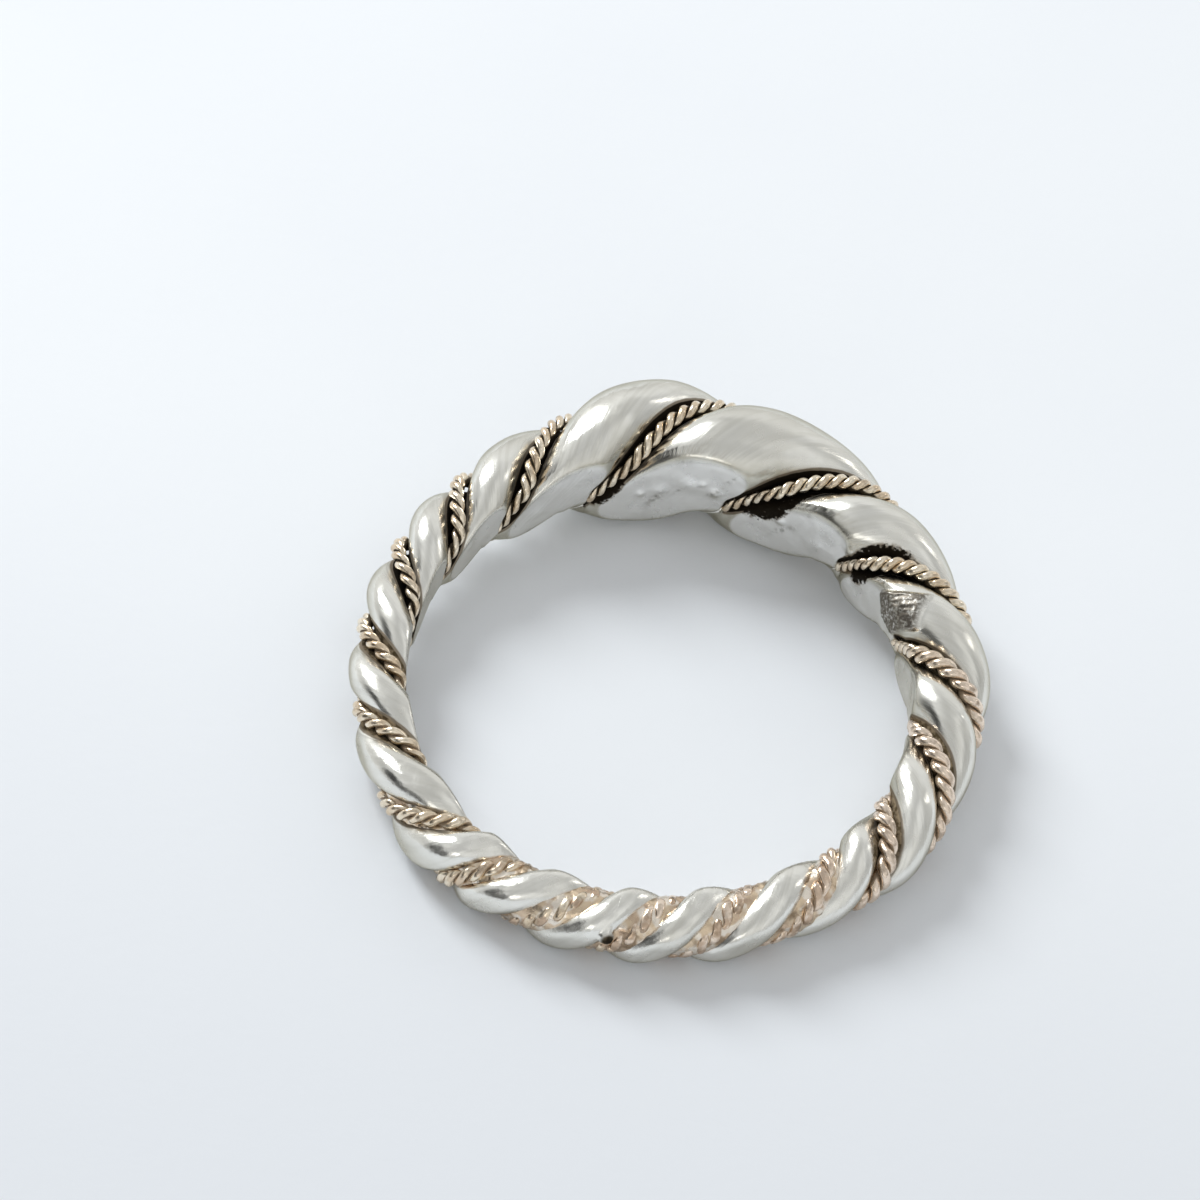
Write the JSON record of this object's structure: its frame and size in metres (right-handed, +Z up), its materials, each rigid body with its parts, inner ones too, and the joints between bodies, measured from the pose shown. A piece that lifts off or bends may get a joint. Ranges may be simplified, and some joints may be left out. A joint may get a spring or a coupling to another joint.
{
  "type": "twisted wire ring",
  "caption": "Graduated finger ring of two silver strands twisted together, thick at the front and slim at the back, with a fine gold rope wire in each groove.",
  "frame": {"origin": "middle of the ring's box, on the surface that the ring lies on", "axes": "+Z up from that surface, 4 degrees off the finger hole's axis; +Y towards the thick front of the ring"},
  "size_m": [0.023, 0.025, 0.0054],
  "materials": {
    "silver": "polished and worn, oxidised black deep in the grooves",
    "gold_rope": "worn rose gold, dark between the twisted wires"
  },
  "bodies": {
    "root": {"silver_strand_1": "silver", "silver_strand_2": "silver", "rope_wire_1": "gold_rope", "rope_wire_2": "gold_rope"}
  },
  "joints": []
}
